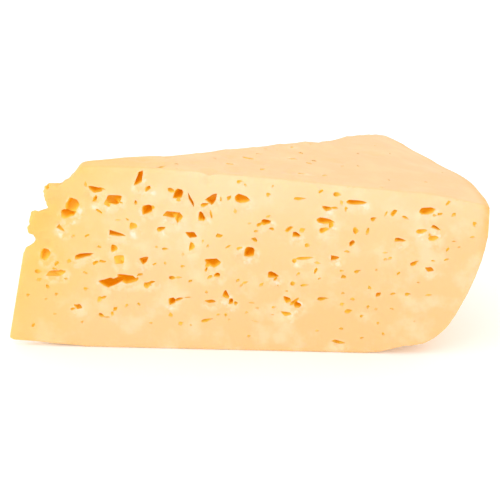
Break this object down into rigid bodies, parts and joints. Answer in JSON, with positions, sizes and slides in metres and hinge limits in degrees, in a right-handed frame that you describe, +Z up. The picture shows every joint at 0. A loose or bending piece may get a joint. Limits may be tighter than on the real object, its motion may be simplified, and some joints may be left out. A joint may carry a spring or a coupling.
{
  "type": "cheese wedge",
  "caption": "Wedge of rindless semi-hard cheese with small irregular eyes, a rounded rim, a worn broken tip and a flat base.",
  "frame": {"origin": "middle of the bounding box, on the flat base", "axes": "+X along the front cut from the tip to the rim, +Y from the front cut to the back cut, +Z up"},
  "size_m": [0.1256, 0.0712, 0.0501],
  "materials": {
    "cheese_paste": "pale creamy yellow cheese paste with a moist satin sheen, deeper orange in the eyes"
  },
  "bodies": {
    "root": {"cheese_wedge": "cheese_paste"}
  },
  "joints": []
}
